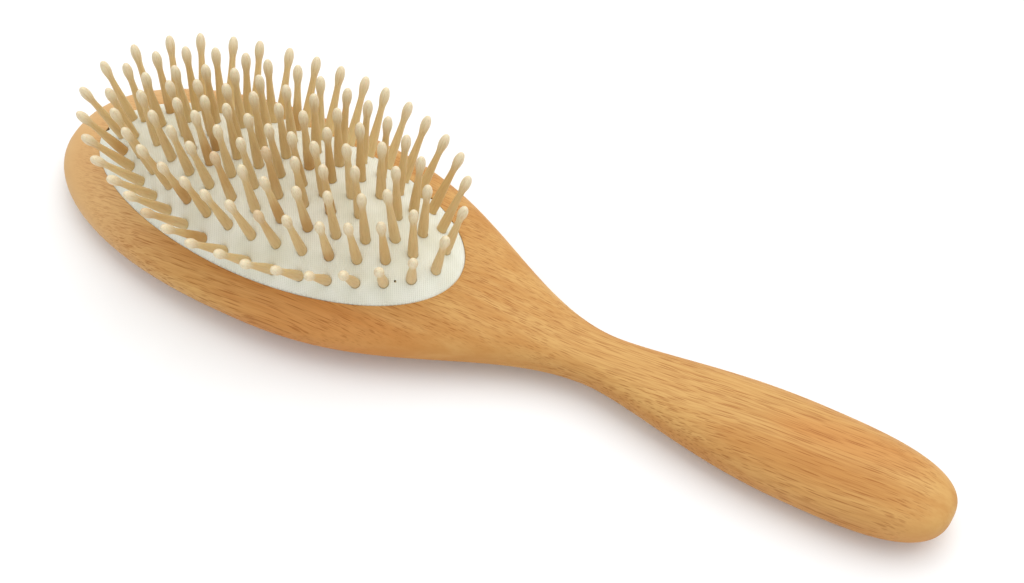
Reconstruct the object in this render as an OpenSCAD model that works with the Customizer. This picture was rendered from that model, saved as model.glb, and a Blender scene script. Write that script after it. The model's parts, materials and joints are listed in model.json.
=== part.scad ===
// Oval paddle hairbrush with a domed air cushion and turned wooden pins.
// X runs from the head's tip (-X) to the handle's butt (+X), Z is up through the pins.
// The origin is the middle of the small flat on the head's back, below the cushion's centre.
// "Left" is -Y and "right" is +Y, as seen when the handle points at the viewer.

/* [Wooden body] */
// Distance from the cushion's centre to the head's tip
tip_reach = 60.5; // [58:0.1:64]
// Distance from the cushion's centre to the handle's butt
butt_reach = 170.8; // [160:0.1:190]
// Width of the head at the cushion's centre
head_w = 59.5; // [57:0.1:66]
// Width of the neck at its narrowest
neck_w = 13.1; // [10:0.1:18]
// Width of the handle at its widest
handle_w = 24.1; // [20:0.1:30]
// Distance from the cushion's centre to the narrowest part of the neck
neck_x = 87; // [80:0.5:95]
// Distance from the cushion's centre to the widest part of the handle
handle_x = 136.5; // [125:0.5:145]
// Height of the cushion's rim above the back flat
rim_h = 12.6; // [12:0.1:15]
// Rise of the head's crown line above the cushion's rim
head_crown = 1.9; // [1.5:0.1:2.5]
// Depth of the neck's top line below the rim
neck_top_drop = 3.5; // [0:0.1:4]
// Depth of the handle's top line below the rim
handle_top_drop = 1.9; // [0:0.1:4]
// Thickness sanded off the head's back to make the resting flat
flat_cut = 0.4; // [0.2:0.1:0.6]
// Rise of the neck's underside above the back flat
neck_rise = 0.3; // [0.2:0.1:1]
// Depth of the handle's underside below the back flat
handle_sag = 3.4; // [0.1:0.1:5]
// Roundness of the cross-section: 2 is an ellipse, higher is squarer
section_power = 2.4; // [2:0.1:3]

/* [Cushion] */
// Half the length of the cushion's opening
pad_a = 50; // [48:0.1:51]
// Half the width of the cushion's opening
pad_b = 22.45; // [22:0.05:23]
// Extra width towards the handle, as a share of the half width
pad_egg = 0.0286; // [0:0.001:0.05]
// Height of the dome above its rim
dome_h = 11.4; // [9:0.1:13]
// Flatness of the dome's top
dome_power = 2.92; // [2.5:0.01:3.5]
// Steepness of the dome's shoulder
shoulder_power = 0.86; // [0.7:0.01:1]
// Thickness of the woven facing
cloth_t = 0.3; // [0.2:0.05:0.4]
// Thickness of the rubber membrane
rubber_t = 0.9; // [0.7:0.05:1]
// Depth of the air pocket below the rim
pocket_depth = 7.4; // [6:0.1:8]
// Diameter of the air vent through the cushion
vent_d = 0.5; // [0.4:0.1:1.2]
// Distance from the cushion's centre to the air vent, along the body
vent_x = 39.3; // [39:0.1:40]
// Distance from the cushion's centre to the air vent, across the body
vent_y = -9.5; // [-10:0.1:-9]

/* [Pins] */
// Number of pins in each ring, from the outside in
ring_pins = [34, 28, 22, 16]; // [6:1:34]
// Half the length of each ring
ring_a = [44.3, 39.8, 34.3, 25.3]; // [20:0.1:45]
// Half the width of each ring
ring_b = [20.35, 15.9, 10.55, 5.5]; // [5:0.05:20.5]
// Shift of each ring towards the handle
ring_shift = [1.55, 0.6, 1.0, 0.1]; // [0:0.05:2]
// Start of each ring after the tip, in pin gaps
ring_start = [0.48, 0.64, 0.77, 0.87]; // [0:0.01:1]
// Lean of the pins on each ring's long sides
lean_side = [34, 15, 7, 3]; // [0:0.5:35]
// Lean of the pins at each ring's ends
lean_end = [17, 7, 2, 3]; // [0:0.5:20]
// Number of pins in the centre row
row_pins = 6; // [4:1:6]
// Gap between the pins of the centre row
row_gap = 6.02; // [5.5:0.01:6.5]
// Distance from the cushion's face to the widest part of the pin's bulb
pin_l = 15.4; // [14:0.1:18]
// Diameter of the pin at the cushion's face
pin_d = 2.4; // [2.2:0.05:2.5]
// Diameter of the pin's neck
pin_neck_d = 1.5; // [1.2:0.05:1.6]
// Diameter of the bulb at the pin's tip
bulb_d = 2.3; // [2.1:0.05:2.6]
// Diameter of the foot that holds the pin behind the membrane
foot_d = 2.8; // [2.7:0.05:2.9]

/* [Hidden] */

beech = [0.86, 0.62, 0.38];
pale_wood = [0.90, 0.79, 0.58];
ivory = [0.91, 0.91, 0.84];
latex = [0.88, 0.80, 0.62];

// Shape of the body's outline and of its side view. A pair of powers describes a superellipse.
tip_power = 2.13;      // fullness of the head's tip in plan
waist_power = 1.34;    // how late the head starts to narrow towards the neck
fall_power = 1.9;      // how late the head's crown line starts to fall towards the neck
swell_power = 0.77;    // how early the handle swells after the neck
butt_powers = [3, 2.6];
tip_edge_h = rim_h - 9;     // height at which the head's tip closes
butt_edge_h = rim_h - 8.2;  // height at which the handle's butt closes
tip_top_powers = [3, 3.4];
tip_back_powers = [6, 2];
butt_side_powers = [4, 2.4];
stations = 50;         // cross-sections along the body
section_points = 48;   // points round each cross-section
cut_over = 1;          // how far a cutting shape reaches past the surface it cuts

// Cushion details
fit_gap = 0.1;         // clearance of the cushion in its opening and groove
groove_top = 1.6;      // depth of the groove's upper edge below the rim
groove_h = 2.4;        // height of the groove in the pocket's wall
groove_in = 1.6;       // depth of the groove into the wall
cloth_tuck = 1.4;      // depth to which the facing is tucked in at the rim
glue_gap = 0.03;       // layer of glue between the facing and the membrane
pin_gap = 0.05;        // radial clearance of a pin in the membrane
dome_rows = 10;        // rows of facets from the dome's centre to its rim
dome_sectors = 56;     // facets round the dome

// Pin details, measured along the pin from the cushion's face
foot_top = -2.05;      // upper side of the foot
foot_t = 0.6;          // thickness of the foot
taper_at = 3.4;        // the shank is straight up to here
neck_from = 11.1;
neck_to = pin_l - 3.3;
bulb_top = pin_l + 2.35;
shank_r = pin_d / 2;
neck_r = pin_neck_d / 2;
bulb_r = bulb_d / 2;
bulb_steps = 5;        // facets along each half of the bulb
pin_facets = 24;
hole_l = -2 * foot_top;  // length of a pin's hole, half of it above the face

ring_pinch = 1.12;     // above 1, the rings' ovals are drawn in between their ends and their sides

// Unevenness of the outer ring's spacing, as shares of one turn
outer_drift = -0.0054;
outer_sway = 0.0064;
outer_sway_phase = 34;

// Pins farther along X than this share of a ring's half length belong to its tip or handle arc
arc_split = 0.699;
arc_step = 2;          // degrees between the points at which a ring's length is summed up

// x raised to a power, keeping its sign
function signed_pow(x, p) = sign(x) * pow(abs(x), p);

// Falls from 1 at u = 0 to 0 at u = 1 along a superellipse
function round_off(u, powers) = pow(max(0, 1 - pow(u, powers[0])), 1 / powers[1]);

// Falls from 1 at u = 0 to 0 at u = 1 along half a cosine wave, delayed by its power
function wave_down(u, p) = (1 + cos(180 * pow(u, p))) / 2;

// Value at x that passes smoothly from the head through the neck to the handle
function along_body(x, head, neck, handle, head_power = waist_power) =
    x < neck_x
        ? neck + (head - neck) * wave_down(max(0, x) / neck_x, head_power)
        : handle + (neck - handle) * wave_down(min(1, (x - neck_x) / (handle_x - neck_x)), swell_power);

// Share of the full size left at x, where the body rounds off at its tip and at its butt
function end_share(x, at_tip, at_butt) =
    x < 0
        ? round_off(min(1, -x / tip_reach), at_tip)
        : round_off(max(0, min(1, (x - handle_x) / (butt_reach - handle_x))), at_butt);

function half_width(x) =
    along_body(x, head_w / 2, neck_w / 2, handle_w / 2)
    * end_share(x, [tip_power, tip_power], butt_powers);

function edge_height(x) = x < 0 ? tip_edge_h : butt_edge_h;

function top_height(x) =
    let (
        neck = rim_h - neck_top_drop,
        full = along_body(x, rim_h + head_crown, neck, rim_h - handle_top_drop, fall_power)
    )
    edge_height(x) + (full - edge_height(x)) * end_share(x, tip_top_powers, butt_side_powers);

function back_height(x) =
    let (full = along_body(x, -flat_cut, neck_rise, -handle_sag))
    edge_height(x) + (full - edge_height(x)) * end_share(x, tip_back_powers, butt_side_powers);

// Point at angle a on the cross-section at x
function section_point(x, a) =
    let (
        w = half_width(x),
        middle = (top_height(x) + back_height(x)) / 2,
        half_h = (top_height(x) - back_height(x)) / 2,
        bend = 2 / section_power
    )
    [x, w * signed_pow(cos(a), bend), middle + half_h * signed_pow(sin(a), bend)];

// Triangles and caps that close rows of points into one skin between two end points
function skin_faces(rows, around) = concat(
    [for (j = [0 : around - 1]) [0, 1 + j, 1 + (j + 1) % around]],
    [for (i = [0 : rows - 2]) for (j = [0 : around - 1])
        let (this = 1 + i * around, next = this + around, k = (j + 1) % around)
        each [[this + j, next + j, this + k], [this + k, next + j, next + k]]],
    [for (j = [0 : around - 1])
        let (last = 1 + (rows - 1) * around)
        [last + j, 1 + rows * around, last + (j + 1) % around]]
);

// Oval of the cushion's opening, grown by an offset
function pad_outline(grow) = [
    for (j = [0 : dome_sectors - 1])
        let (a = 360 * j / dome_sectors)
        [(pad_a + grow) * cos(a), (pad_b + grow) * sin(a) * (1 + pad_egg * cos(a))]
];

// Share of the way from the cushion's centre to its rim, at a point seen from above
function pad_share(p) =
    norm([p[0] / pad_a, p[1] / (1 + pad_egg * p[0] / pad_a) / pad_b]);

// Height of the dome above its rim, for a layer that lies a depth below the face
function dome_height(share, depth) =
    (dome_h - depth) * pow(max(0, 1 - pow(share, dome_power)), shoulder_power);

// One row of a shell: half length, half width and height
function dome_row(share, depth) =
    [(pad_a - fit_gap - depth) * share, (pad_b - fit_gap - depth) * share, dome_height(share, depth)];

function rim_row(grow, drop) = [pad_a - fit_gap + grow, pad_b - fit_gap + grow, -drop];

function row_points(row) = [
    for (j = [0 : dome_sectors - 1])
        let (a = -360 * j / dome_sectors)
        [row[0] * cos(a), row[1] * sin(a) * (1 + pad_egg * row[0] / pad_a * cos(a)), rim_h + row[2]]
];

// Point of a ring's oval at angle a
function ring_point(k, a) =
    let (c = signed_pow(cos(a), ring_pinch), s = signed_pow(sin(a), ring_pinch))
    [ring_shift[k] + ring_a[k] * c, ring_b[k] * s * (1 + pad_egg * cos(a))];

// Pairs of arc length and angle around a ring, from the tip through the left side
function arc_table(k) = [
    for (i = 0, q = ring_point(k, 180), s = 0, p = q;
         i <= 360 / arc_step;
         i = i + 1, q = ring_point(k, 180 + arc_step * i), s = s + norm(q - p), p = q)
        [s, 180 + arc_step * i]
];

function drifted(k, u) =
    k > 0 ? u : u + outer_drift * sin(360 * u) + outer_sway * cos(720 * u + outer_sway_phase);

// Foot points of all pins of a ring, evenly spaced along it
function ring_pin_places(k) =
    let (table = arc_table(k), total = table[len(table) - 1][0])
    [for (i = [0 : ring_pins[k] - 1])
        ring_point(k, lookup(total * drifted(k, (i + ring_start[k]) / ring_pins[k]), table))];

function row_pin_places() = [for (i = [0 : row_pins - 1]) [row_gap * (i - (row_pins - 1) / 2), 0]];

// Name of the arc a pin of ring k belongs to
function arc_of(k, p) =
    abs(p[0] - ring_shift[k]) > arc_split * ring_a[k]
        ? (p[0] < 0 ? "tip" : "handle")
        : (p[1] < 0 ? "left" : "right");

// Direction in which the cushion falls away at a point, seen from above
function fall_heading(p) = atan2(p[1] / pow(pad_b, 2), p[0] / pow(pad_a, 2));

// Lean of a pin of ring k at a point
function pin_lean(k, p) =
    lean_end[k] + (lean_side[k] - lean_end[k]) * pow(sin(fall_heading(p)), 2);

// Stands its children, drawn along Z, on the cushion's face at a point
module on_cushion(p, lean) {
    translate([p[0], p[1], rim_h + dome_height(pad_share(p), 0)])
        rotate([0, lean, fall_heading(p)])
            children();
}

// Outline of half a pin, from its foot to the top of its bulb
function pin_outline() = concat(
    [[0, foot_top - foot_t], [foot_d / 2, foot_top - foot_t], [foot_d / 2, foot_top], [shank_r, foot_top]],
    [[shank_r, taper_at], [neck_r, neck_from], [neck_r, neck_to]],
    [for (i = [1 : bulb_steps])
        let (u = i / bulb_steps)
        [neck_r + (bulb_r - neck_r) * (1 - cos(180 * u)) / 2, neck_to + (pin_l - neck_to) * u]],
    [for (i = [1 : bulb_steps])
        let (a = 90 * i / bulb_steps)
        [i == bulb_steps ? 0 : bulb_r * cos(a), pin_l + (bulb_top - pin_l) * sin(a)]]
);

module pin() {
    rotate_extrude($fn = pin_facets) polygon(pin_outline());
}

module pin_hole() {
    translate([0, 0, foot_top]) cylinder(r = shank_r + pin_gap, h = hole_l, $fn = pin_facets);
}

// Every pin hole of the cushion, and its air vent
module cushion_holes() {
    for (k = [0 : len(ring_pins) - 1]) {
        for (p = ring_pin_places(k)) on_cushion(p, pin_lean(k, p)) pin_hole();
    }
    for (p = row_pin_places()) on_cushion(p, 0) pin_hole();
    on_cushion([vent_x, vent_y], 0) cylinder(d = vent_d, h = 2 * hole_l, center = true, $fn = pin_facets);
}

module arc_pins(k, arc) {
    color(pale_wood)
        for (p = ring_pin_places(k)) {
            if (arc_of(k, p) == arc) on_cushion(p, pin_lean(k, p)) pin();
        }
}

module centre_row_pins() {
    color(pale_wood)
        for (p = row_pin_places()) on_cushion(p, 0) pin();
}

// Solid outside shape of the body, before the pocket and the flat
module body_blank() {
    shares = [for (i = [1 : stations]) (1 - cos(180 * i / (stations + 1))) / 2];
    xs = [for (share = shares) -tip_reach + (tip_reach + butt_reach) * share];
    rings = [for (x = xs) for (j = [0 : section_points - 1]) section_point(x, 360 * j / section_points)];
    points = concat([[-tip_reach, 0, tip_edge_h]], rings, [[butt_reach, 0, butt_edge_h]]);
    polyhedron(points, skin_faces(stations, section_points), convexity = 6);
}

// One-piece head, neck and handle, with the pocket and the groove that hold the cushion
module wooden_body() {
    color(beech)
        difference() {
            body_blank();
            translate([0, 0, rim_h - pocket_depth])
                linear_extrude(pocket_depth + head_crown + cut_over) polygon(pad_outline(0));
            translate([0, 0, rim_h - groove_top - groove_h])
                linear_extrude(groove_h) polygon(pad_outline(groove_in));
            translate([-tip_reach, -head_w / 2, -handle_sag])
                cube([tip_reach + neck_x, head_w, handle_sag]);
        }
}

// Shell between two depths below the cushion's face, closed by the given rows at its edge
module dome_shell(depth_out, depth_in, edge_rows) {
    shares = [for (i = [1 : dome_rows]) sin(90 * i / dome_rows)];
    rows = concat(
        [for (i = [0 : dome_rows - 1]) dome_row(shares[i], depth_out)],
        edge_rows,
        [for (i = [dome_rows - 1 : -1 : 0]) dome_row(shares[i], depth_in)]
    );
    points = concat(
        [[0, 0, rim_h + dome_height(0, depth_out)]],
        [for (row = rows) each row_points(row)],
        [[0, 0, rim_h + dome_height(0, depth_in)]]
    );
    polyhedron(points, skin_faces(len(rows), dome_sectors), convexity = 6);
}

// Rubber dome whose thick edge snaps into the groove
module cushion_membrane() {
    depth_out = cloth_t + glue_gap;
    depth_in = depth_out + rubber_t;
    bead_top = groove_top + fit_gap;
    bead_bottom = groove_top + groove_h - fit_gap;
    edge_rows = [
        rim_row(-depth_out, bead_top),
        rim_row(groove_in, bead_top),
        rim_row(groove_in, bead_bottom),
        rim_row(-depth_in, bead_bottom)
    ];
    color(latex)
        difference() {
            dome_shell(depth_out, depth_in, edge_rows);
            cushion_holes();
        }
}

// Woven facing bonded to the rubber, tucked in at the rim
module cushion_cloth() {
    edge_rows = [rim_row(0, cloth_tuck), rim_row(-cloth_t, cloth_tuck)];
    color(ivory)
        difference() {
            dome_shell(0, cloth_t, edge_rows);
            cushion_holes();
        }
}

wooden_body();
cushion_membrane();
cushion_cloth();
centre_row_pins();
arc_pins(3, "tip");  // inner_ring_tip_pins
arc_pins(3, "handle");  // inner_ring_handle_pins
arc_pins(3, "left");  // inner_ring_left_pins
arc_pins(3, "right");  // inner_ring_right_pins
arc_pins(2, "tip");  // third_ring_tip_pins
arc_pins(2, "handle");  // third_ring_handle_pins
arc_pins(2, "left");  // third_ring_left_pins
arc_pins(2, "right");  // third_ring_right_pins
arc_pins(1, "tip");  // second_ring_tip_pins
arc_pins(1, "handle");  // second_ring_handle_pins
arc_pins(1, "left");  // second_ring_left_pins
arc_pins(1, "right");  // second_ring_right_pins
arc_pins(0, "tip");  // outer_ring_tip_pins
arc_pins(0, "handle");  // outer_ring_handle_pins
arc_pins(0, "left");  // outer_ring_left_pins
arc_pins(0, "right");  // outer_ring_right_pins
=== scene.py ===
"""Oval paddle hairbrush: a beech body, a domed cloth-faced air cushion and turned wooden pins."""

import json
import math
import random

import bpy
import numpy as np
from mathutils import Matrix, Vector
from mathutils.geometry import delaunay_2d_cdt

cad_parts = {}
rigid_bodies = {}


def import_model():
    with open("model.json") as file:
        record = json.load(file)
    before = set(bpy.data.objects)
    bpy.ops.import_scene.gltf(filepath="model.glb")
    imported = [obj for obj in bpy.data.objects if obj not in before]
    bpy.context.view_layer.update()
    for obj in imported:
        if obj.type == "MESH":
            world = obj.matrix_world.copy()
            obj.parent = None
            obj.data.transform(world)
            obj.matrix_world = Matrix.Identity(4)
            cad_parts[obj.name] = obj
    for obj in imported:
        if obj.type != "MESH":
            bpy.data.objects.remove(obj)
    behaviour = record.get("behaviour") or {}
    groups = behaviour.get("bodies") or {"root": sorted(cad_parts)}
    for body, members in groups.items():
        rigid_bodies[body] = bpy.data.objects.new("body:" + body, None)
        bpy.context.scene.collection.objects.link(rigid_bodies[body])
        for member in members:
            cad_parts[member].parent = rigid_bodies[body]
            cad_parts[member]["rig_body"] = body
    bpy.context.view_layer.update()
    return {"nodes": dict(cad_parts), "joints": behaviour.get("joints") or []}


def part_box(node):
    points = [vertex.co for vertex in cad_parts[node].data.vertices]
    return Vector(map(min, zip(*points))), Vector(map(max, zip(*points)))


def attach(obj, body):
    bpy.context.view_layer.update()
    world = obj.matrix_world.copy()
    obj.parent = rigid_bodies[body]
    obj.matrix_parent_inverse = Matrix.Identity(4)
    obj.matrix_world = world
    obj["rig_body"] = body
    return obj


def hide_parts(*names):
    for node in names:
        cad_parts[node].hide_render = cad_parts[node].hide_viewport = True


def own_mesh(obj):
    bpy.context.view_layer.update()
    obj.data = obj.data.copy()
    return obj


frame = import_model()

MM = 0.001
TAU = 2 * math.pi

# ---------------------------------------------------------------- the frame, in millimetres


def node_box(node):
    low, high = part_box(node)
    return np.array(low) / MM, np.array(high) / MM


WOOD_LOW, WOOD_HIGH = node_box("wooden_body")
CLOTH_HIGH = node_box("cushion_cloth")[1]
PIN_NODES = sorted(n for n in frame["nodes"] if n.endswith("_pins"))
ROOT_BODY = "brush_body"
PRESS_JOINT = "cushion_press"
press = next(j for j in frame["joints"] if j["name"] == PRESS_JOINT)
RIM_Z = press["deforming_nodes"][0]["fixed_end_z_m"] / MM

# Wooden body: the same shape as the CAD body, so its driving sizes come from the CAD body's box
TIP_X = -WOOD_LOW[0]
BUTT_X = WOOD_HIGH[0]
HEAD_HALF_W = WOOD_HIGH[1]
HANDLE_SAG = -WOOD_LOW[2]
NECK_HALF_W = 6.55
HANDLE_HALF_W = 12.05
NECK_X = 87
HANDLE_X = 136.5
HEAD_CROWN = 1.9
NECK_TOP_DROP = 3.5
HANDLE_TOP_DROP = 1.9
FLAT_CUT = 0.4
FLAT_SOFTNESS = 0.15
NECK_RISE = 0.3
TIP_EDGE_Z = RIM_Z - 9
BUTT_EDGE_Z = RIM_Z - 8.2
SECTION_POWER = 2.4
TIP_PLAN_POWER = 2.13
WAIST_POWER = 1.34
FALL_POWER = 1.9
SWELL_POWER = 0.77
BUTT_PLAN_POWERS = (3, 2.6)
TIP_TOP_POWERS = (3, 3.4)
TIP_BACK_POWERS = (6, 2)
BUTT_SIDE_POWERS = (4, 2.4)

# Cushion
FIT_GAP = 0.1
SEAM_GAP = 0.04
PAD_A = CLOTH_HIGH[0] + FIT_GAP
PAD_B = 22.45
PAD_EGG = 0.0286
DOME_H = CLOTH_HIGH[2] - RIM_Z
DOME_POWER = 2.92
SHOULDER_POWER = 0.86
CLOTH_T = 0.3
RUBBER_T = 0.9
RUBBER_DEPTH = CLOTH_T + 0.03
GROOVE_TOP = 1.6
GROOVE_H = 2.4
GROOVE_IN = 1.6
POCKET_DEPTH = 7.4
POCKET_CORNER = 0.8
POCKET_CORNER_CUT = 0.25
VENT_XY = (39.3, -9.5)
VENT_R = 0.25

# Pins, measured along the pin from the cushion's face
FOOT_BOTTOM = -2.65
FOOT_TOP = -2.05
FOOT_R = 1.4
SHANK_R = 1.2
TAPER_AT = 3.4
NECK_FROM = 11.1
NECK_TO = 12.1
NECK_R = 0.75
BULB_AT = 15.4
BULB_R = 1.15
BULB_TOP = 17.75

# ---------------------------------------------------------------- meshes


def add_mesh(name, vertices, faces):
    """A new object from points in millimetres."""
    mesh = bpy.data.meshes.new(name)
    mesh.from_pydata((np.asarray(vertices) * MM).tolist(), [], [tuple(f) for f in faces])
    mesh.validate()
    mesh.polygons.foreach_set("use_smooth", [True] * len(mesh.polygons))
    mesh.update()
    obj = bpy.data.objects.new(name, mesh)
    bpy.context.scene.collection.objects.link(obj)
    return obj


def apply_modifiers(obj):
    """Bakes the object's modifiers into its mesh."""
    evaluated = obj.evaluated_get(bpy.context.evaluated_depsgraph_get())
    mesh = bpy.data.meshes.new_from_object(evaluated)
    obj.modifiers.clear()
    obj.data = mesh
    return obj


def grid_faces(rows, columns, wrap_rows=False):
    """Quads between closed rows of points that lie one row after another."""
    faces = []
    for i in range(rows if wrap_rows else rows - 1):
        a, b = i * columns, (i + 1) % rows * columns
        for j in range(columns):
            k = (j + 1) % columns
            faces.append((a + j, b + j, b + k, a + k))
    return faces


def place(obj, body, material, slot, *nodes):
    """Dresses a piece, makes it ride on a body and stand for CAD nodes."""
    obj.data.materials.clear()
    obj.data.materials.append(material)
    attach(obj, body)
    if nodes:
        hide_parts(*nodes)
    return obj


# ---------------------------------------------------------------- shape of the wooden body


def signed_pow(values, power):
    return np.sign(values) * np.abs(values) ** power


def round_off(u, powers):
    """Falls from 1 to 0 along a superellipse as u goes from 0 to 1."""
    u = np.clip(u, 0, 1)
    return np.maximum(0, 1 - u ** powers[0]) ** (1 / powers[1])


def wave_down(u, power):
    """Falls from 1 to 0 along half a cosine wave as u goes from 0 to 1."""
    return (1 + np.cos(math.pi * np.clip(u, 0, 1) ** power)) / 2


def smooth_step(x, start, end):
    u = np.clip((x - start) / (end - start), 0, 1)
    return u * u * (3 - 2 * u)


def along_body(x, head, neck, handle, head_power=WAIST_POWER):
    """A value that passes smoothly from the head through the neck to the handle."""
    if x < NECK_X:
        return neck + (head - neck) * wave_down(max(0, x) / NECK_X, head_power)
    return handle + (neck - handle) * wave_down((x - NECK_X) / (HANDLE_X - NECK_X), SWELL_POWER)


def end_share(x, tip_powers, butt_powers):
    """Share of the full size left at x, where the body rounds off at its tip and butt."""
    if x < 0:
        return round_off(-x / TIP_X, tip_powers)
    return round_off((x - HANDLE_X) / (BUTT_X - HANDLE_X), butt_powers)


def half_width(x):
    full = along_body(x, HEAD_HALF_W, NECK_HALF_W, HANDLE_HALF_W)
    return full * end_share(x, (TIP_PLAN_POWER, TIP_PLAN_POWER), BUTT_PLAN_POWERS)


def top_and_back(x):
    """Heights of the body's crown line and of its underside at x."""
    edge = TIP_EDGE_Z if x < 0 else BUTT_EDGE_Z
    handle_top = RIM_Z - HANDLE_TOP_DROP
    top = along_body(x, RIM_Z + HEAD_CROWN, RIM_Z - NECK_TOP_DROP, handle_top, FALL_POWER)
    back = along_body(x, -FLAT_CUT, NECK_RISE, -HANDLE_SAG)
    return (
        edge + (top - edge) * end_share(x, TIP_TOP_POWERS, BUTT_SIDE_POWERS),
        edge + (back - edge) * end_share(x, TIP_BACK_POWERS, BUTT_SIDE_POWERS),
    )


def section_points(x, angles):
    """Points of the right half of the section at x: angle 90 degrees is the crown, -90 the back."""
    w = half_width(x)
    top, back = top_and_back(x)
    bend = 2 / SECTION_POWER
    y = w * signed_pow(np.cos(angles), bend)
    z = (top + back) / 2 + (top - back) / 2 * signed_pow(np.sin(angles), bend)
    # The sanded flat on the back meets the rounded sides softly
    softness = FLAT_SOFTNESS * (1 - smooth_step(x, NECK_X / 2, NECK_X))
    if x < NECK_X:
        z = (z + np.sqrt(z * z + softness**2)) / 2
    return np.column_stack([np.full_like(y, x), y, z])


def pad_oval(angles, grow, z):
    """Points round the cushion's opening, grown by an offset."""
    x = (PAD_A + grow) * np.cos(angles)
    y = (PAD_B + grow) * np.sin(angles) * (1 + PAD_EGG * np.cos(angles))
    return np.column_stack([x, y, np.full_like(x, z) if np.isscalar(z) else z])


LIP_R = 0.15
RIM_STEPS = 110
TIP_STEPS = 22
HANDLE_STEPS = 120
TOP_STEPS = 22
BACK_STEPS = 24
LIP_STEPS = 6


def eased_places(reach, steps):
    """Places between the opening's end and the body's end, closer together at the body's end."""
    opening = PAD_A + LIP_R
    return opening + (reach - opening) * np.sin(np.linspace(0, math.pi / 2, steps + 1))[1:-1]


def body_stations():
    """The body's cross-sections from tip to butt: the x and the opening's half width of each."""
    tip_part = [(-x, 0.0) for x in eased_places(TIP_X, TIP_STEPS)[::-1]]
    rim = pad_oval(np.linspace(math.pi, 0, RIM_STEPS + 1), LIP_R, 0)
    rim_part = [(x, y) for x, y, _ in rim]
    handle_part = [(x, 0.0) for x in eased_places(BUTT_X, HANDLE_STEPS)]
    return tip_part, rim_part, handle_part


def half_section(x, rim_y):
    """The right half of a cross-section, from the opening's rim or the crown round to the back."""
    start = math.acos(min(1, rim_y / half_width(x)) ** (SECTION_POWER / 2))
    above = start * (1 - np.arange(TOP_STEPS) / TOP_STEPS)
    below = -math.pi / 2 * np.arange(BACK_STEPS + 1) / BACK_STEPS
    points = section_points(x, np.concatenate([above, below]))
    points[0, 1] = rim_y
    points[-1, 1] = 0
    return points


def skin_rows(stations):
    """One row for each station, from the right rim under the back to the left rim."""
    right = np.array([half_section(x, rim_y) for x, rim_y in stations])
    left = right[:, ::-1].copy()
    left[:, :, 1] *= -1
    return np.concatenate([right, left[:, 1:]], axis=1)


def number_skin(rows, first, last):
    """The skin's vertices and each row's numbers. Past the opening a row's ends share a vertex."""
    count, width = rows.shape[:2]
    vertices, index = [], np.zeros((count, width), int)
    for i in range(count):
        closed = i <= first or i >= last
        for j in range(width):
            if j == width - 1 and closed:
                index[i, j] = index[i, 0]
            else:
                index[i, j] = len(vertices)
                vertices.append(rows[i, j])
    return vertices, index


def skin_faces(index, tip, butt):
    """Faces between the rows, and fans that close the tip and the butt."""
    faces = []
    for row, next_row in zip(index[:-1], index[1:]):
        for j in range(len(row) - 1):
            loop = [row[j], next_row[j], next_row[j + 1], row[j + 1]]
            faces.append([v for k, v in enumerate(loop) if v != loop[k - 1]])
    first, last = index[0], index[-1]
    faces += [(tip, first[j], first[j + 1]) for j in range(len(first) - 1)]
    faces += [(butt, last[j + 1], last[j]) for j in range(len(last) - 1)]
    return faces


def pocket_rings(loop_points):
    """Rings of points down the opening's lip, the groove and the pocket's wall and floor."""
    x, y, z = loop_points.T
    egg = 1 + PAD_EGG * x / (PAD_A + LIP_R)
    angles = np.arctan2(y / egg / (PAD_B + LIP_R), x / (PAD_A + LIP_R))
    rings = []
    for turn in math.pi / 2 * np.arange(1, LIP_STEPS + 1) / LIP_STEPS:
        grow, drop = LIP_R * (1 - math.sin(turn)), LIP_R * (1 - math.cos(turn))
        rings.append(pad_oval(angles, grow, z - drop))
    walls = [
        (0, GROOVE_TOP),
        (GROOVE_IN, GROOVE_TOP),
        (GROOVE_IN, GROOVE_TOP + GROOVE_H),
        (0, GROOVE_TOP + GROOVE_H),
        (0, POCKET_DEPTH - POCKET_CORNER),
        (-POCKET_CORNER_CUT, POCKET_DEPTH - POCKET_CORNER_CUT),
        (-POCKET_CORNER, POCKET_DEPTH),
        (-PAD_B / 2, POCKET_DEPTH),
    ]
    return rings + [pad_oval(angles, grow, RIM_Z - drop) for grow, drop in walls]


def build_wooden_body():
    """The body's skin, open over the cushion's pocket, and the pocket."""
    tip_part, rim_part, handle_part = body_stations()
    first = len(tip_part)
    last = first + RIM_STEPS
    vertices, index = number_skin(skin_rows(tip_part + rim_part + handle_part), first, last)
    tip, butt = len(vertices), len(vertices) + 1
    vertices += [np.array([-TIP_X, 0, TIP_EDGE_Z]), np.array([BUTT_X, 0, BUTT_EDGE_Z])]
    faces = skin_faces(index, tip, butt)

    # The opening's loop, from the handle end along the left to the tip and back along the right
    loop = [index[i, -1] for i in range(last, first, -1)]
    loop += [index[i, 0] for i in range(first, last)]
    rings = pocket_rings(np.array([vertices[v] for v in loop]))
    inside_from = len(vertices) + LIP_STEPS * len(loop)
    for ring in rings:
        start = len(vertices)
        vertices.extend(ring)
        for j in range(len(loop)):
            k = (j + 1) % len(loop)
            faces.append((loop[k], loop[j], start + j, start + k))
        loop = list(range(start, start + len(loop)))
    middle = len(vertices)
    vertices.append(np.array([0, 0, RIM_Z - POCKET_DEPTH]))
    faces += [(loop[(j + 1) % len(loop)], loop[j], middle) for j in range(len(loop))]

    body = add_mesh("wooden_head_and_handle", vertices, faces)
    in_pocket = [float(i >= inside_from) for i in range(len(vertices))]
    body.data.attributes.new("in_pocket", "FLOAT", "POINT").data.foreach_set("value", in_pocket)
    return body


# ---------------------------------------------------------------- pins


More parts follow.
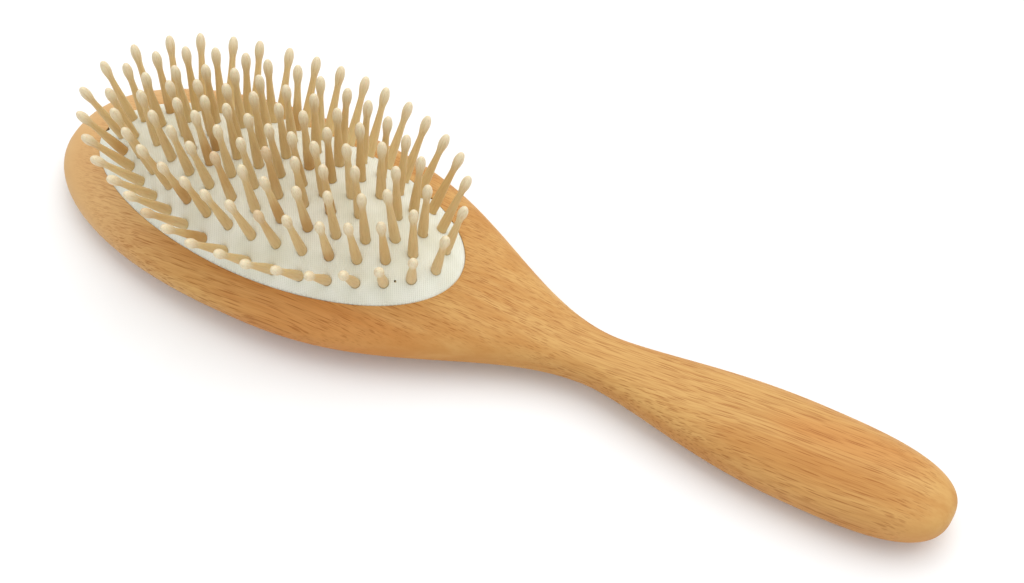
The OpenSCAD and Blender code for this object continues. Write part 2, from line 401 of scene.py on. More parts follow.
def loose_parts(obj):
    """The vertices of each separate solid in a mesh, in millimetres."""
    mesh = obj.data
    points = np.zeros(len(mesh.vertices) * 3)
    mesh.vertices.foreach_get("co", points)
    points = points.reshape(-1, 3) / MM
    welded, inverse = np.unique(np.round(points, 3), axis=0, return_inverse=True)
    inverse = inverse.ravel()
    parent = list(range(len(welded)))

    def root(i):
        while parent[i] != i:
            parent[i] = parent[parent[i]]
            i = parent[i]
        return i

    for edge in mesh.edges:
        a, b = root(inverse[edge.vertices[0]]), root(inverse[edge.vertices[1]])
        if a != b:
            parent[max(a, b)] = min(a, b)
    groups = {}
    for i in range(len(welded)):
        groups.setdefault(root(i), []).append(i)
    return [welded[members] for _, members in sorted(groups.items())]


END_SLICE = 0.02


def pin_axes(node):
    """The place on the cushion's face and the direction of every pin of a CAD node."""
    axes = []
    for points in loose_parts(frame["nodes"][node]):
        middle = points.mean(0)
        direction = np.linalg.svd(points - middle)[2][0]
        direction *= np.sign(direction[2])
        along = (points - middle) @ direction
        bottom = points[along < along.min() + END_SLICE].mean(0)
        top = points[along > along.max() - END_SLICE].mean(0)
        direction = (top - bottom) / np.linalg.norm(top - bottom)
        axes.append((bottom - FOOT_BOTTOM * direction, direction))
    return axes


FOOT_CHAMFER = 0.1
SHANK_RINGS = (-0.6, 0, 1.2)
TAPER_FROM = TAPER_AT - 1
TAPER_TO = NECK_FROM + 0.6
TAPER_STEPS = 10
TAPER_EASE = 0.04
BULB_STEPS = 8
SWELL_LAG = 1.05
TOP_BLUNTNESS = 0.92


def pin_profile():
    """Pairs of distance along the pin and radius, from the foot to the tip."""
    profile = [
        (FOOT_BOTTOM, FOOT_R - FOOT_CHAMFER),
        (FOOT_BOTTOM + FOOT_CHAMFER, FOOT_R),
        (FOOT_TOP - FOOT_CHAMFER, FOOT_R),
        (FOOT_TOP, FOOT_R - FOOT_CHAMFER),
        (FOOT_TOP, SHANK_R),
    ]
    profile += [(at, SHANK_R) for at in SHANK_RINGS]
    for i in range(TAPER_STEPS + 1):
        u = i / TAPER_STEPS
        # A straight taper whose two ends are eased
        eased = u + TAPER_EASE * math.sin(TAU * (u - 0.5))
        at = TAPER_FROM + (TAPER_TO - TAPER_FROM) * u
        profile.append((at, SHANK_R + (NECK_R - SHANK_R) * eased))
    for i in range(1, BULB_STEPS + 1):
        u = i / BULB_STEPS
        swell = (1 - math.cos(math.pi * u**SWELL_LAG)) / 2
        profile.append((NECK_TO + (BULB_AT - NECK_TO) * u, NECK_R + (BULB_R - NECK_R) * swell))
    for i in range(1, BULB_STEPS + 1):
        turn = math.pi / 2 * i / BULB_STEPS
        at = BULB_AT + (BULB_TOP - BULB_AT) * math.sin(turn)
        profile.append((at, BULB_R * math.cos(turn) ** TOP_BLUNTNESS))
    profile[-1] = (BULB_TOP, 0)
    return profile


PIN_SIDES = 22


def axes_across(direction):
    """Two directions at right angles to a pin and to each other."""
    across = np.cross(direction, (0, 1, 0))
    across /= np.linalg.norm(across)
    return across, np.cross(direction, across)


def pin_mesh_parts(base, direction, profile, turn):
    """Points and faces of one pin, and each point's place in the pin's own axes."""
    across, side = axes_across(direction)
    local = []
    for at, radius in profile[:-1]:
        for a in turn + TAU * np.arange(PIN_SIDES) / PIN_SIDES:
            local.append((math.cos(a) * radius, math.sin(a) * radius, at))
    faces = [tuple(reversed(f)) for f in grid_faces(len(profile) - 1, PIN_SIDES)]
    top, bottom = len(local), len(local) + 1
    local += [(0, 0, profile[-1][0]), (0, 0, profile[0][0])]
    last = top - PIN_SIDES
    faces += [(last + j, last + (j + 1) % PIN_SIDES, top) for j in range(PIN_SIDES)]
    faces += [((j + 1) % PIN_SIDES, j, bottom) for j in range(PIN_SIDES)]
    points = [base + direction * at + across * c + side * s for c, s, at in local]
    return points, faces, np.array(local)


LEAN_SCATTER = math.radians(1.1)
LENGTH_SCATTER = 0.12
GRAIN_SCATTER = 400
TONE_MEAN, TONE_SPREAD = 0.42, 0.22
BROWN_TIP_SHARE, BROWN_FOOT_SHARE = 0.02, 0.14
BROWN_TIP_STRENGTH, BROWN_FOOT_STRENGTH = 0.35, 0.6
BROWN_FROM, BROWN_TO = 3, 9
BROWN_TIP_FADE, BROWN_FOOT_FADE = np.array([-3, 4]), np.array([-4, 2])


def scattered_pin(base, direction, profile, draw):
    """A pin with its own small lean, length and turn about its axis."""
    nudge = np.array([draw.gauss(0, LEAN_SCATTER), draw.gauss(0, LEAN_SCATTER), 0])
    direction = direction + np.clip(nudge, -2 * LEAN_SCATTER, 2 * LEAN_SCATTER)
    direction /= np.linalg.norm(direction)
    stretch = 1 + draw.uniform(-LENGTH_SCATTER, LENGTH_SCATTER) / BULB_TOP
    shaped = [(at * stretch if at > 0 else at, radius) for at, radius in profile]
    return pin_mesh_parts(base, direction, shaped, draw.uniform(0, TAU))


def brown_shares(at, draw):
    """How brown a pin is along its length. A few are brown at the tip or the foot, most nowhere."""
    split_at = draw.uniform(BROWN_FROM, BROWN_TO)
    kind = draw.random()
    if kind < BROWN_TIP_SHARE:
        return smooth_step(at, *(split_at + BROWN_TIP_FADE)) * BROWN_TIP_STRENGTH
    if kind < BROWN_TIP_SHARE + BROWN_FOOT_SHARE:
        return (1 - smooth_step(at, *(split_at + BROWN_FOOT_FADE))) * BROWN_FOOT_STRENGTH
    return np.zeros_like(at)


def build_pins(node, material, draw):
    """All pins of a CAD node as one piece, each with its own small lean, tone and grain."""
    profile = pin_profile()
    vertices, faces, grain_place = [], [], []
    shares = {"tone": [], "brown": [], "height": []}
    for base, direction in pin_axes(node):
        points, pin_faces, local = scattered_pin(base, direction, profile, draw)
        faces.extend(tuple(len(vertices) + v for v in f) for f in pin_faces)
        vertices.extend(points)
        grain_place.extend(local + [draw.uniform(0, GRAIN_SCATTER) for _ in range(3)])
        at = local[:, 2]
        tone = min(1, max(0, draw.gauss(TONE_MEAN, TONE_SPREAD)))
        shares["tone"].extend([tone] * len(at))
        shares["brown"].extend(brown_shares(at, draw))
        shares["height"].extend(at)
    obj = add_mesh(node.replace("_pins", "_turned_pins"), vertices, faces)
    attributes = obj.data.attributes
    grain = attributes.new("grain_place", "FLOAT_VECTOR", "POINT")
    grain.data.foreach_set("vector", np.ravel(grain_place))
    for name, values in shares.items():
        attributes.new(name, "FLOAT", "POINT").data.foreach_set("value", values)
    place(obj, frame["nodes"][node]["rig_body"], material, "pin_wood", node)


# ---------------------------------------------------------------- cushion


def pad_share(x, y):
    """Share of the way from the cushion's centre to its rim."""
    return np.sqrt((x / PAD_A) ** 2 + (y / (1 + PAD_EGG * x / PAD_A) / PAD_B) ** 2)


def dome_rise(share):
    """Height of the cushion's face above the rim, at a share of the way from centre to rim."""
    return DOME_H * (1 - np.minimum(share, 1) ** DOME_POWER) ** SHOULDER_POWER


def dome_z(x, y):
    return RIM_Z + dome_rise(pad_share(x, y))


# Places round the rim where the facing pulls away from the wood: degrees from the handle end,
# the spread in degrees and the depth
PUCKERS = (
    (-177.2, 1.9, 1.4),
    (172.5, 1.4, 1.1),
    (159.5, 1.8, 1.4),
    (49.5, 1.2, 0.8),
    (38.0, 1.2, 0.8),
)
PUCKER_SHARES = (0.93, 0.975)
SHEET_SPACING = 0.95
SHEET_ROWS = 60
RIM_LENGTH = 235
HOLE_SIDES = 24
HOLE_R = SHANK_R + 0.03
HOLE_REACH = 3
HOLE_STEPS, HOLE_STEP_SHARE = 30, 0.7
COLLAR_WIDTHS = (0.16, 0.42, 0.8)
COLLAR_CLEARANCE = 0.75
COLLAR_LIMIT = 0.985
PULL_FADE_POWER = 6
DIMPLE = 0.16
DIMPLE_REACH = 0.45
DIMPLE_FADE = 0.03
EDGE_COUNT = int(RIM_LENGTH / SHEET_SPACING)
WITH_HULL, MERGE_WITHIN = 0, 1e-5


def edge_pull(angles):
    """How far the facing's edge is pulled in at each angle round the rim."""
    pull = np.zeros_like(angles)
    for at, spread, depth in PUCKERS:
        gap = np.degrees(np.angle(np.exp(1j * (angles - math.radians(at)))))
        pull += depth * np.exp(-((gap / spread) ** 2))
    return pull


def hole_ring(base, direction, radius):
    """Points where a round hole along a pin cuts the dome."""
    across, side = axes_across(direction)
    ring = []
    for a in TAU * np.arange(HOLE_SIDES) / HOLE_SIDES:
        start = base + radius * (math.cos(a) * across + math.sin(a) * side)
        along = 0.0
        for _ in range(HOLE_STEPS):
            x, y, z = start + along * direction
            along += (dome_z(x, y) - z) * HOLE_STEP_SHARE * direction[2]
        ring.append((start + along * direction)[:2])
    return np.array(ring)


def distance_to_axis(points, base, direction):
    gap = points - base
    return np.linalg.norm(gap - np.outer(gap @ direction, direction), axis=1)


def sheet_edge():
    """The sheet's outer edge, pulled in at the puckers."""
    angles = TAU * np.arange(EDGE_COUNT) / EDGE_COUNT
    edge = pad_oval(angles, 0, 0)[:, :2]
    inward = -edge / np.linalg.norm(edge, axis=1)[:, None]
    return edge * (1 - SEAM_GAP / PAD_B) + inward * edge_pull(angles)[:, None]


def sheet_rows(holes):
    """Points in oval rows over the whole cushion, clear of the holes."""
    rows = []
    for i in range(SHEET_ROWS):
        share = math.sin(math.pi / 2 * i / SHEET_ROWS)
        count = max(1, int(EDGE_COUNT * share))
        angles = TAU * (np.arange(count) + 0.5 * (i % 2)) / count
        row = pad_oval(angles, 0, 0)[:, :2] * share
        pull = row * share**PULL_FADE_POWER * (edge_pull(angles) / PAD_B)[:, None]
        rows.append(row * (1 - SEAM_GAP / PAD_B) - pull)
    flat = np.concatenate(rows)
    lifted = np.column_stack([flat, dome_z(flat[:, 0], flat[:, 1])])
    keep = np.ones(len(flat), bool)
    for base, direction, radius in holes:
        keep &= distance_to_axis(lifted, base, direction) > radius + COLLAR_CLEARANCE
    return flat[keep]


def hole_collars(holes):
    """Rings of points close round every hole."""
    collars = []
    for base, direction, radius in holes:
        collars += [hole_ring(base, direction, radius + grow) for grow in COLLAR_WIDTHS]
    points = np.concatenate(collars)
    return points[pad_share(points[:, 0], points[:, 1]) < COLLAR_LIMIT]


def closed_edges(loops):
    """Pairs of point numbers along closed loops whose points come one loop after another."""
    edges, start = [], 0
    for loop in loops:
        size = len(loop)
        edges += [(start + j, start + (j + 1) % size) for j in range(size)]
        start += size
    return edges


def sheet_layout(axes):
    """A flat triangulation of the cushion from above, with a hole for each pin and the vent."""
    holes = [(base, direction, HOLE_R) for base, direction in axes]
    holes.append((np.array([*VENT_XY, dome_z(*VENT_XY)]), np.array([0, 0, 1.0]), VENT_R))
    loops = [sheet_edge()] + [hole_ring(*hole) for hole in holes]
    points = np.concatenate(loops + [sheet_rows(holes), hole_collars(holes)])
    flat, _, faces, *_ = delaunay_2d_cdt(
        [Vector(p) for p in points], closed_edges(loops), [], WITH_HULL, MERGE_WITHIN
    )
    flat = np.array([tuple(v) for v in flat])
    faces = np.array([f for f in faces if len(f) == 3])
    middles = flat[faces].mean(1)
    inside = points_in_loop(middles, loops[0])
    for loop in loops[1:]:
        near = np.linalg.norm(middles - loop.mean(0), axis=1) < HOLE_REACH
        inside[near] &= ~points_in_loop(middles[near], loop)
    return keep_used(flat, face_up(flat, faces[inside]))


def face_up(flat, faces):
    """The triangles, with the clockwise ones turned over."""
    ab = flat[faces[:, 1]] - flat[faces[:, 0]]
    ac = flat[faces[:, 2]] - flat[faces[:, 0]]
    clockwise = ab[:, 0] * ac[:, 1] - ab[:, 1] * ac[:, 0] < 0
    faces[clockwise] = faces[clockwise][:, ::-1]
    return faces


def keep_used(points, faces):
    """The points that faces use, and the faces renumbered to suit."""
    used = np.unique(faces)
    renumber = np.zeros(len(points), int)
    renumber[used] = np.arange(len(used))
    return points[used], renumber[faces]


def points_in_loop(points, loop):
    """True for each point that lies inside a closed loop."""
    inside = np.zeros(len(points), bool)
    for (x1, y1), (x2, y2) in zip(loop, np.roll(loop, -1, axis=0)):
        if y1 == y2:
            continue
        crosses = (y1 > points[:, 1]) != (y2 > points[:, 1])
        at = x1 + (points[:, 1] - y1) * (x2 - x1) / (y2 - y1)
        inside ^= crosses & (points[:, 0] < at)
    return inside


def build_sheet(name, layout, axes, depth, thickness):
    """A domed sheet of the cushion, at a depth below its face, dimpled round the pins."""
    flat, faces = layout
    shrink_x = (PAD_A - depth) / PAD_A
    shrink_y = (PAD_B - depth) / PAD_B
    share = pad_share(flat[:, 0], flat[:, 1])
    # At a pucker the face dives to the rim's height where its pulled-in edge ends
    angles = np.arctan2(flat[:, 1] / (1 + PAD_EGG * flat[:, 0] / PAD_A) / PAD_B, flat[:, 0] / PAD_A)
    rim_reach = np.linalg.norm(pad_oval(angles, 0, 0)[:, :2], axis=1)
    pulled = edge_pull(angles) / rim_reach * smooth_step(share, *PUCKER_SHARES)
    z = RIM_Z + dome_rise(share / (1 - pulled)) * (DOME_H - depth) / DOME_H
    points = np.column_stack([flat[:, 0] * shrink_x, flat[:, 1] * shrink_y, z])
    dip = np.zeros(len(points))
    for base, direction in axes:
        gap = np.maximum(distance_to_axis(points, base, direction) - SHANK_R, 0)
        dip = np.maximum(dip, DIMPLE * np.exp(-gap / DIMPLE_REACH))
    points[:, 2] -= dip * smooth_step(1 - share, 0, DIMPLE_FADE)
    obj = add_mesh(name, points, faces)
    shell = obj.modifiers.new("thickness", "SOLIDIFY")
    shell.thickness = thickness * MM
    shell.offset = -1
    return apply_modifiers(obj)


BAND_SIDES = 240


def build_edge_band(name, profile):
    """A ring below the rim, from (growth, drop) pairs: the tucked edge of a sheet."""
    angles = TAU * np.arange(BAND_SIDES) / BAND_SIDES
    rows = []
    for grow, drop in profile:
        free = grow <= 0
        ring = pad_oval(angles, grow - (SEAM_GAP if free else FIT_GAP), RIM_Z - drop)
        if free:
            length = np.linalg.norm(ring[:, :2], axis=1)
            ring[:, :2] *= ((length - edge_pull(angles)) / length)[:, None]
        rows.append(ring)
    faces = grid_faces(len(profile), BAND_SIDES, wrap_rows=True)
    return add_mesh(name, np.concatenate(rows), faces)


# ---------------------------------------------------------------- materials

# The mix node's colour sockets, which share their names with its number sockets
MIX_A, MIX_B, MIX_RESULT = 6, 7, 2


class Look:
    """A material's node tree, with short calls for adding nodes."""

    def __init__(self, name):
        self.material = bpy.data.materials.new(name)
        self.material.use_nodes = True
        self.tree = self.material.node_tree
        self.shader = self.tree.nodes["Principled BSDF"]

    def add(self, kind, inputs, **settings):
        node = self.tree.nodes.new("ShaderNode" + kind)
        for key, value in settings.items():
            setattr(node, key, value)
        for key, value in inputs.items():
            self.plug(value, node.inputs[key])
        return node

    def plug(self, value, socket):
        if isinstance(value, bpy.types.NodeSocket):
            self.tree.links.new(value, socket)
        else:
            socket.default_value = value

    def place(self):
        return self.add("TexCoord", {}).outputs["Object"]

    def attribute(self, name, output):
        return self.add("Attribute", {}, attribute_name=name).outputs[output]

    def scaled(self, vector, scale, turn=0.0, shift=(0, 0, 0)):
        inputs = {"Vector": vector, "Scale": scale, "Rotation": (0, 0, turn), "Location": shift}
        return self.add("Mapping", inputs).outputs[0]

    def noise(self, vector, scale=1.0, detail=2.0, roughness=0.5):
        inputs = {"Vector": vector, "Scale": scale, "Detail": detail, "Roughness": roughness}
        return self.add("TexNoise", inputs).outputs["Fac"]

    def cells(self, vector):
        return self.add("TexVoronoi", {"Vector": vector, "Scale": 1.0}).outputs["Distance"]

    def math(self, operation, a, b=0.0):
        return self.add("Math", {0: a, 1: b}, operation=operation).outputs[0]

    def ramp(self, value, low, high, to_low=0.0, to_high=1.0):
        inputs = {"Value": value, "From Min": low, "From Max": high}
        inputs.update({"To Min": to_low, "To Max": to_high})
        return self.add("MapRange", inputs, interpolation_type="SMOOTHSTEP").outputs[0]

    def mix(self, share, a, b):
        """Colour a, with a share of colour b mixed in."""
        inputs = {"Factor": share, MIX_A: a, MIX_B: b}
        return self.add("Mix", inputs, data_type="RGBA").outputs[MIX_RESULT]

    def wobble(self, vector, scale, amount):
        """The vector moved about a little by smooth noise."""
        noise = self.add("TexNoise", {"Vector": vector, "Scale": scale, "Detail": 1.0})
        centred = self.vector_math("SUBTRACT", {0: noise.outputs["Color"], 1: (0.5, 0.5, 0.5)})
        moved = self.vector_math("SCALE", {0: centred, "Scale": amount})
        return self.vector_math("ADD", {0: vector, 1: moved})

    def vector_math(self, operation, inputs):
        return self.add("VectorMath", inputs, operation=operation).outputs[0]

    def split(self, vector):
        return self.add("SeparateXYZ", {"Vector": vector}).outputs

    def bump(self, height, distance, strength):
        inputs = {"Height": height, "Distance": distance, "Strength": strength}
        self.plug(self.add("Bump", inputs).outputs[0], self.shader.inputs["Normal"])

    def finish(self, colour, roughness, **other):
        self.plug(colour, self.shader.inputs["Base Color"])
        self.plug(roughness, self.shader.inputs["Roughness"])
        for key, value in other.items():
            self.plug(value, self.shader.inputs[key.replace("_", " ")])
        return self.material


def colour(red, green, blue):
    """A linear colour from display values of 0 to 255."""

    def linear(v):
        v /= 255
        return v / 12.92 if v <= 0.04045 else ((v + 0.055) / 1.055) ** 2.4

    return (linear(red), linear(green), linear(blue), 1.0)


BEECH_PALE, BEECH_DEEP = colour(208, 163, 98), colour(193, 139, 75)
BEECH_PATCH, BEECH_NEAR_SIDE_SHADE = colour(196, 126, 60), colour(194, 120, 54)
BEECH_TIP_PAINTED_LIGHT = colour(217, 176, 122)
BEECH_FIBRE, BEECH_MARK = colour(168, 108, 52), colour(148, 84, 34)
POCKET_WALL_PAINTED_SHADE = colour(46, 30, 18)
# How often each pattern of the beech repeats in a metre, along the grain, across it and in height
BAND_SCALE, PATCH_SCALE, FIBRE_SCALE = (8, 150, 170), (13, 42, 60), (60, 2300, 1500)
STREAK_SCALE, DASH_SCALE, MORE_DASH_SCALE = (90, 3600, 2200), (75, 1900, 1200), (100, 2500, 1500)
GRAIN_TURN = math.radians(-4)


def beech_tones(look, place, bands):
    """The beech's bands and patches, painted shade on the near side, painted light on the tip end,
    and the strength of its marks.
    """
    x, y, _ = look.split(place)
    tone = look.mix(look.ramp(bands, 0.36, 0.66), BEECH_PALE, BEECH_DEEP)
    patches = look.noise(look.scaled(look.grain, PATCH_SCALE, shift=(3, 7, 1)), detail=2.0)
    tone = look.mix(look.ramp(patches, 0.52, 0.74, 0, 0.7), tone, BEECH_PATCH)
    # Painted shade: the head's near side is painted darker and warmer
    near_side_shade = look.ramp(y, -0.03, -0.013, 0.5, 0)
    behind_tip = look.ramp(x, -0.012, 0.02)
    tone = look.mix(look.math("MULTIPLY", near_side_shade, behind_tip), tone, BEECH_NEAR_SIDE_SHADE)
    # Painted light: the tip end of the head is painted paler
    tone = look.mix(look.ramp(x, -0.045, -0.004, 0.75, 0), tone, BEECH_TIP_PAINTED_LIGHT)
    return tone, look.ramp(x, -0.052, -0.015, 0.25, 0.6)


def beech_marks(look, side_on):
    """The beech's short dark dashes, from stretched cells and stretched noise."""
    streak_place = look.scaled(look.grain, STREAK_SCALE, shift=(5, 1, 8))
    streaks = look.noise(streak_place, detail=1.0, roughness=0.4)
    streak_mark = look.math("MULTIPLY", look.ramp(streaks, 0.58, 0.7), 0.55)
    dashes = look.cells(look.scaled(look.grain, DASH_SCALE, shift=(11, 5, 2)))
    more_dashes = look.cells(look.scaled(look.grain, MORE_DASH_SCALE, shift=(4, 9, 7)))
    dash_mark = look.ramp(look.math("MINIMUM", dashes, more_dashes), 0.14, 0.3, 1, 0)
    return look.math("MULTIPLY", look.math("MAXIMUM", streak_mark, dash_mark), side_on)


def beech_look():
    look = Look("beech")
    straight = look.scaled(look.place(), (1, 1, 1), turn=GRAIN_TURN)
    look.grain = look.wobble(straight, 30.0, 0.0018)
    bands = look.noise(look.scaled(look.grain, BAND_SCALE), detail=4.0, roughness=0.6)
    tone, mark_strength = beech_tones(look, look.wobble(straight, 22.0, 0.012), bands)
    # The marks run along the grain, so they fade where the surface faces its end
    facing = look.split(look.add("NewGeometry", {}).outputs["Normal"])[0]
    side_on = look.ramp(look.math("ABSOLUTE", facing), 0.1, 0.42, 1, 0.06)
    fibres = look.noise(look.scaled(look.grain, FIBRE_SCALE), detail=3.0, roughness=0.65)
    fibre_share = look.math("MULTIPLY", look.ramp(fibres, 0.3, 0.62, 0.42, 0), side_on)
    tone = look.mix(fibre_share, tone, BEECH_FIBRE)
    marks = beech_marks(look, side_on)
    tone = look.mix(look.math("MULTIPLY", marks, mark_strength), tone, BEECH_MARK)
    # The pocket's wall is painted dark: painted shade in the recess round the cushion
    pocket_shade_share = look.math("MULTIPLY", look.attribute("in_pocket", "Fac"), 0.93)
    tone = look.mix(pocket_shade_share, tone, POCKET_WALL_PAINTED_SHADE)
    look.bump(look.math("SUBTRACT", look.math("MULTIPLY", fibres, 0.25), marks), 0.00002, 0.4)
    dull = look.math("MULTIPLY", marks, 0.1)
    roughness = look.math("ADD", look.ramp(bands, 0.3, 0.7, 0.52, 0.6), dull)
    return look.finish(tone, roughness, Specular_IOR_Level=0.22)


CLOTH_PALE, CLOTH_DEEP = colour(236, 237, 224), colour(226, 226, 208)
CLOTH_RIB_GROOVE_SHADE = colour(188, 190, 168)
RIB_PITCH = 0.00046
CROSS_PITCH = RIB_PITCH * 0.8
RIB_TURN = math.radians(-29.5)
CLOTH_SHEEN = {"Sheen_Weight": 0.25, "Sheen_Roughness": 0.5}


def cloth_look():
    look = Look("ribbed_cloth")
    place = look.wobble(look.place(), 160.0, 0.00012)
    x, y, _ = look.split(look.scaled(place, (1, 1, 1), turn=RIB_TURN))
    across = look.math("SINE", look.math("MULTIPLY", x, TAU / RIB_PITCH))
    along = look.math("SINE", look.math("MULTIPLY", y, TAU / CROSS_PITCH))
    crossing = look.math("MULTIPLY", look.math("MULTIPLY", across, along), 0.5)
    weave = look.math("ADD", look.math("MULTIPLY", across, 0.8), crossing)
    fluff = look.noise(place, scale=3800.0, detail=2.0)
    look.bump(look.math("ADD", weave, look.math("MULTIPLY", fluff, 1.2)), 0.000035, 0.7)
    mottle = look.noise(place, scale=120.0, detail=3.0)
    tone = look.mix(look.ramp(mottle, 0.35, 0.7), CLOTH_PALE, CLOTH_DEEP)
    # Painted shade: the cloth is painted darker where the weave dips between the ribs
    tone = look.mix(look.ramp(weave, -1.2, 0.2, 0.3, 0), tone, CLOTH_RIB_GROOVE_SHADE)
    return look.finish(tone, 0.88, Specular_IOR_Level=0.25, **CLOTH_SHEEN)


RUBBER_PALE, RUBBER_DEEP = colour(214, 196, 152), colour(196, 174, 126)


def rubber_look():
    look = Look("latex_membrane")
    mottle = look.noise(look.place(), scale=260.0, detail=3.0)
    tone = look.mix(look.ramp(mottle, 0.3, 0.7), RUBBER_PALE, RUBBER_DEEP)
    look.bump(mottle, 0.00005, 0.4)
    return look.finish(tone, 0.62, Specular_IOR_Level=0.35)


PIN_PALE, PIN_DEEP, PIN_TIP_PAINTED_LIGHT = colour(224, 202, 152), colour(208, 176, 118), colour(230, 220, 192)
PIN_STREAK, PIN_PORE, PIN_BROWN = colour(186, 148, 92), colour(168, 126, 74), colour(184, 132, 58)
TIP_LIGHT_FROM, TIP_LIGHT_TO = 11.0, 17.0
PIN_GLOW = {"Subsurface_Weight": 0.06, "Subsurface_Scale": 0.001}


def pin_look():
    look = Look("turned_pin_wood")
    grain_place = look.attribute("grain_place", "Vector")
    tone = look.mix(look.attribute("tone", "Fac"), PIN_PALE, PIN_DEEP)
    # Painted light: each pin is painted paler towards its tip, where the top light falls
    tip_light_share = look.ramp(look.attribute("height", "Fac"), TIP_LIGHT_FROM, TIP_LIGHT_TO, 0, 0.75)
    tone = look.mix(tip_light_share, tone, PIN_TIP_PAINTED_LIGHT)
    streaks = look.noise(look.scaled(grain_place, (3.2, 3.2, 0.16)), detail=3.0, roughness=0.6)
    tone = look.mix(look.ramp(streaks, 0.42, 0.74, 0, 0.35), tone, PIN_STREAK)
    pores = look.noise(look.scaled(grain_place, (14, 14, 0.7)), detail=2.0)
    tone = look.mix(look.ramp(pores, 0.56, 0.74, 0, 0.25), tone, PIN_PORE)
    tone = look.mix(look.attribute("brown", "Fac"), tone, PIN_BROWN)
    look.bump(look.math("ADD", streaks, look.math("MULTIPLY", pores, 0.5)), 0.00002, 0.5)
    return look.finish(tone, 0.46, Specular_IOR_Level=0.4, **PIN_GLOW)


FLOOR_TONES = (0.93, 0.93, 0.93, 1), (0.95, 0.95, 0.95, 1)


def floor_look():
    look = Look("pale_floor")
    mottle = look.noise(look.place(), scale=3.0, detail=2.0)
    return look.finish(look.mix(mottle, *FLOOR_TONES), 0.9, Specular_IOR_Level=0.1)


# ---------------------------------------------------------------- building the brush


CLOTH_TUCK = 1.4
PIN_SEED = 7


def build_cushion(axes, cloth, rubber):
    """The facing and the rubber under it: domes and tucked edges."""
    layout = sheet_layout(axes)
    cloth_dome = build_sheet("cushion_cloth_dome", layout, axes, 0, CLOTH_T)
    place(cloth_dome, ROOT_BODY, cloth, "cushion_fabric", "cushion_cloth")
    rubber_dome = build_sheet("cushion_rubber_dome", layout, axes, RUBBER_DEPTH, RUBBER_T)
    place(rubber_dome, ROOT_BODY, rubber, "cushion_rubber", "cushion_membrane")
    for dome in (cloth_dome, rubber_dome):
        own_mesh(dome)

    tuck = [(-CLOTH_T, 0), (0, 0), (0, CLOTH_TUCK), (-CLOTH_T, CLOTH_TUCK)]
    place(build_edge_band("cushion_cloth_edge", tuck), ROOT_BODY, cloth, "cushion_fabric")
    low, high = GROOVE_TOP + FIT_GAP, GROOVE_TOP + GROOVE_H - FIT_GAP
    outer, inner = -RUBBER_DEPTH, -RUBBER_DEPTH - RUBBER_T
    bead = [(inner, 0), (outer, 0), (outer, low)]
    bead += [(GROOVE_IN, low), (GROOVE_IN, high), (inner, high)]
    place(build_edge_band("cushion_rubber_edge", bead), ROOT_BODY, rubber, "cushion_rubber")


def build_brush():
    place(build_wooden_body(), ROOT_BODY, beech_look(), "body_wood", "wooden_body")
    cloth, rubber, pin_wood = cloth_look(), rubber_look(), pin_look()
    draw = random.Random(PIN_SEED)
    for node in PIN_NODES:
        build_pins(node, pin_wood, draw)
    # The part of its height that the dome keeps when pressed right down
    centre_height = np.mean([base[2] for base, _ in pin_axes("centre_row_pins")]) - RIM_Z
    build_cushion([axis for node in PIN_NODES for axis in pin_axes(node)], cloth, rubber)


# ---------------------------------------------------------------- stage


FLOOR_TOUCH_X = -45.0
FLOOR_GAP = 0.02
FLOOR_REACH = 4000


def build_floor():
    """A pale table that touches the head's back and the handle's lowest point."""
    slope = HANDLE_SAG / (HANDLE_X - FLOOR_TOUCH_X)
    corners = []
    for x, y in ((-1, -1), (1, -1), (1, 1), (-1, 1)):
        x, y = x * FLOOR_REACH, y * FLOOR_REACH
        corners.append((x, y, -slope * (x - FLOOR_TOUCH_X) - FLOOR_GAP))
    floor = add_mesh("floor", corners, [(0, 1, 2, 3)])
    floor.data.materials.append(floor_look())


def add_area_light(name, place_mm, size_mm, watts, tint):
    """A rectangular lamp that faces the brush's middle."""
    light = bpy.data.lights.new(name, "AREA")
    light.shape = "RECTANGLE"
    light.size, light.size_y = size_mm[0] * MM, size_mm[1] * MM
    light.energy = watts
    light.color = tint
    obj = bpy.data.objects.new(name, light)
    aim = Vector(((BUTT_X - TIP_X) / 2, 0, 0))
    obj.location = Vector(place_mm) * MM
    obj.rotation_euler = (Vector(place_mm) - aim).to_track_quat("Z", "Y").to_euler()
    bpy.context.scene.collection.objects.link(obj)


SKY_TINT = (0.97, 0.985, 1.0, 1)
SKY_RISE = {"From Min": -0.1, "From Max": 1.0, "To Min": 0.42, "To Max": 1.0}


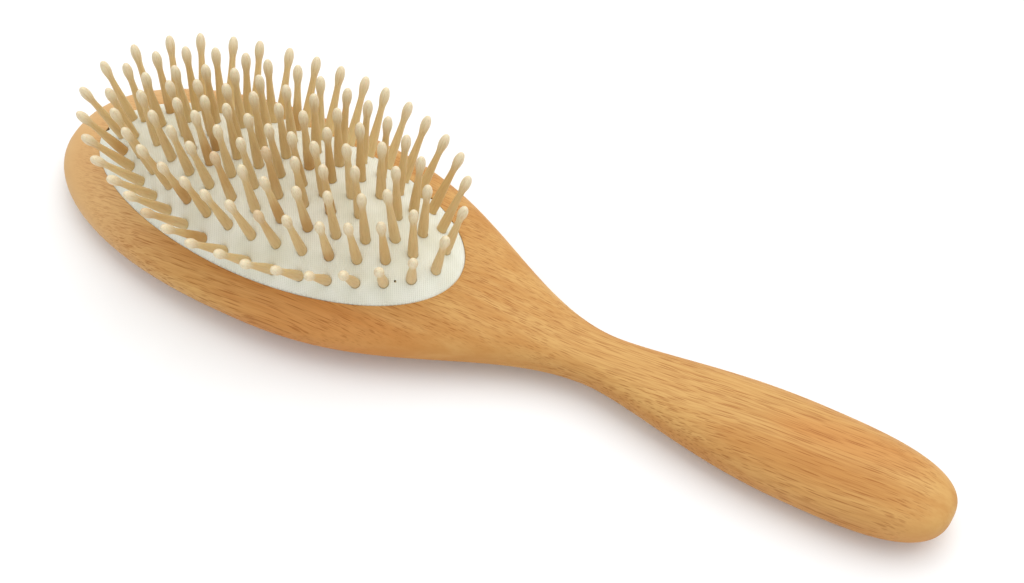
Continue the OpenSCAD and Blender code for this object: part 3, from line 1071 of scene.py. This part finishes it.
def build_world():
    """A pale dome, brighter overhead than at the horizon."""
    world = bpy.data.worlds.new("studio")
    world.use_nodes = True
    tree = world.node_tree
    split = tree.nodes.new("ShaderNodeSeparateXYZ")
    rise = tree.nodes.new("ShaderNodeMapRange")
    for socket, value in SKY_RISE.items():
        rise.inputs[socket].default_value = value
    background = tree.nodes["Background"]
    background.inputs["Color"].default_value = SKY_TINT
    tree.links.new(tree.nodes.new("ShaderNodeTexCoord").outputs["Generated"], split.inputs[0])
    tree.links.new(split.outputs["Z"], rise.inputs["Value"])
    tree.links.new(rise.outputs[0], background.inputs["Strength"])
    bpy.context.scene.world = world


# Each lamp's name, place and size in millimetres, watts and tint
LAMPS = (
    ("overhead_softbox", (130, 420, 800), (1500, 1200), 7.0, (1.0, 0.985, 0.96)),
    ("front_fill", (300, -900, 500), (900, 500), 0.9, (0.96, 0.98, 1.0)),
)


def build_lights():
    for lamp in LAMPS:
        add_area_light(*lamp)
    build_world()
    bpy.context.scene.view_settings.view_transform = "Standard"


CAMERA_AIM = (62.5, 2.7)
CAMERA_DISTANCE = 432.7
CAMERA_AZIMUTH = math.radians(33.6)
CAMERA_ELEVATION = math.radians(54.1)
CAMERA_ROLL = math.radians(-4.78)
CAMERA_LENS = 67.2
SENSOR_WIDTH = 36
CLIP_START = 0.01


def build_camera():
    data = bpy.data.cameras.new("camera")
    data.sensor_width = SENSOR_WIDTH
    data.lens = CAMERA_LENS
    data.clip_start = CLIP_START
    camera = bpy.data.objects.new("camera", data)
    level_part, height_part = math.cos(CAMERA_ELEVATION), math.sin(CAMERA_ELEVATION)
    side, front = math.sin(CAMERA_AZIMUTH), math.cos(CAMERA_AZIMUTH)
    back = Vector((side * level_part, -front * level_part, height_part))
    level = back.to_track_quat("Z", "Y").to_matrix().to_4x4()
    aim = Vector((*CAMERA_AIM, RIM_Z)) * MM
    place_there = Matrix.Translation(aim + back * CAMERA_DISTANCE * MM)
    camera.matrix_world = place_there @ level @ Matrix.Rotation(CAMERA_ROLL, 4, "Z")
    bpy.context.scene.collection.objects.link(camera)
    bpy.context.scene.camera = camera


build_brush()
build_floor()
build_lights()
build_camera()
